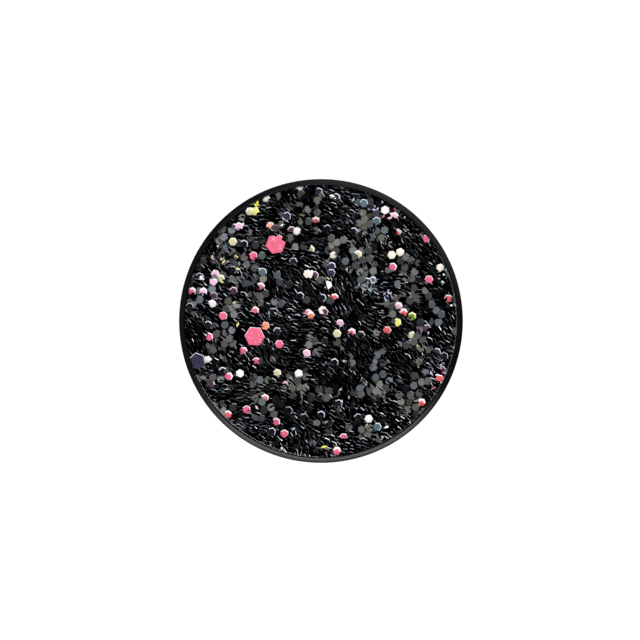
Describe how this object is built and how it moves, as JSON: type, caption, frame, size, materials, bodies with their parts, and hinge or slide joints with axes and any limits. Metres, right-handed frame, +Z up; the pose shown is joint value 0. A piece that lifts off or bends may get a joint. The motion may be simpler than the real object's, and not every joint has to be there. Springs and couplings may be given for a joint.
{
  "type": "enamel pin",
  "caption": "Round lapel pin: a shallow tray with a narrow raised rim, filled with hexagonal glitter under clear resin, held by posts and butterfly clutches.",
  "frame": {"origin": "centre of the tray's flat back face, between the two posts", "axes": "worn upright: +Z up, face looking along -Y, posts and clutches along +Y, +X to the right as the face is looked at"},
  "size_m": [0.038, 0.0121, 0.038],
  "materials": {
    "black_plate": "satin black plating on die-struck metal",
    "black_enamel": "glossy black epoxy enamel",
    "glitter": "hexagonal film flakes, mostly black, some grey, rose, coral, cream and yellow",
    "clear_resin": "clear gloss epoxy",
    "nickel": "bright nickel plating on stamped sheet",
    "spring_steel": "nickel-plated spring strip, lightly brushed"
  },
  "bodies": {
    "pin": {"tray": "black_plate", "enamel_bed": "black_enamel", "glitter_layer": "glitter", "clear_resin": "clear_resin", "left_post": "black_plate", "right_post": "black_plate"},
    "left_clutch": {"left_clutch_face_plate": "nickel", "left_clutch_shell": "nickel", "left_clutch_spring_bridge": "spring_steel"},
    "left_clutch_upper_wing": {"left_clutch_upper_wing": "spring_steel"},
    "left_clutch_lower_wing": {"left_clutch_lower_wing": "spring_steel"},
    "right_clutch": {"right_clutch_face_plate": "nickel", "right_clutch_shell": "nickel", "right_clutch_spring_bridge": "spring_steel"},
    "right_clutch_upper_wing": {"right_clutch_upper_wing": "spring_steel"},
    "right_clutch_lower_wing": {"right_clutch_lower_wing": "spring_steel"}
  },
  "joints": [
    {"name": "left_clutch_slide", "type": "slide", "parent": "pin", "child": "left_clutch", "axis": [0, 1, 0], "range_m": [-0.002, 0.006]},
    {"name": "left_clutch_upper_wing_squeeze", "type": "hinge", "parent": "left_clutch", "child": "left_clutch_upper_wing", "pos_m": [-0.009, 0.0057, 0.0022], "axis": [-1, 0, 0], "range_deg": [0, 10], "stiffness_Nm_per_rad": 0.005, "springref_deg": -5.73},
    {"name": "left_clutch_lower_wing_squeeze", "type": "hinge", "parent": "left_clutch", "child": "left_clutch_lower_wing", "pos_m": [-0.009, 0.0057, -0.0022], "axis": [1, 0, 0], "range_deg": [0, 10], "stiffness_Nm_per_rad": 0.005, "springref_deg": -5.73},
    {"name": "right_clutch_slide", "type": "slide", "parent": "pin", "child": "right_clutch", "axis": [0, 1, 0], "range_m": [-0.002, 0.006]},
    {"name": "right_clutch_upper_wing_squeeze", "type": "hinge", "parent": "right_clutch", "child": "right_clutch_upper_wing", "pos_m": [0.009, 0.0057, 0.0022], "axis": [-1, 0, 0], "range_deg": [0, 10], "stiffness_Nm_per_rad": 0.005, "springref_deg": -5.73},
    {"name": "right_clutch_lower_wing_squeeze", "type": "hinge", "parent": "right_clutch", "child": "right_clutch_lower_wing", "pos_m": [0.009, 0.0057, -0.0022], "axis": [1, 0, 0], "range_deg": [0, 10], "stiffness_Nm_per_rad": 0.005, "springref_deg": -5.73}
  ],
  "couplings": [
    {"joint": "left_clutch_lower_wing_squeeze", "follows": "left_clutch_upper_wing_squeeze", "ratio": 1},
    {"joint": "right_clutch_lower_wing_squeeze", "follows": "right_clutch_upper_wing_squeeze", "ratio": 1}
  ]
}
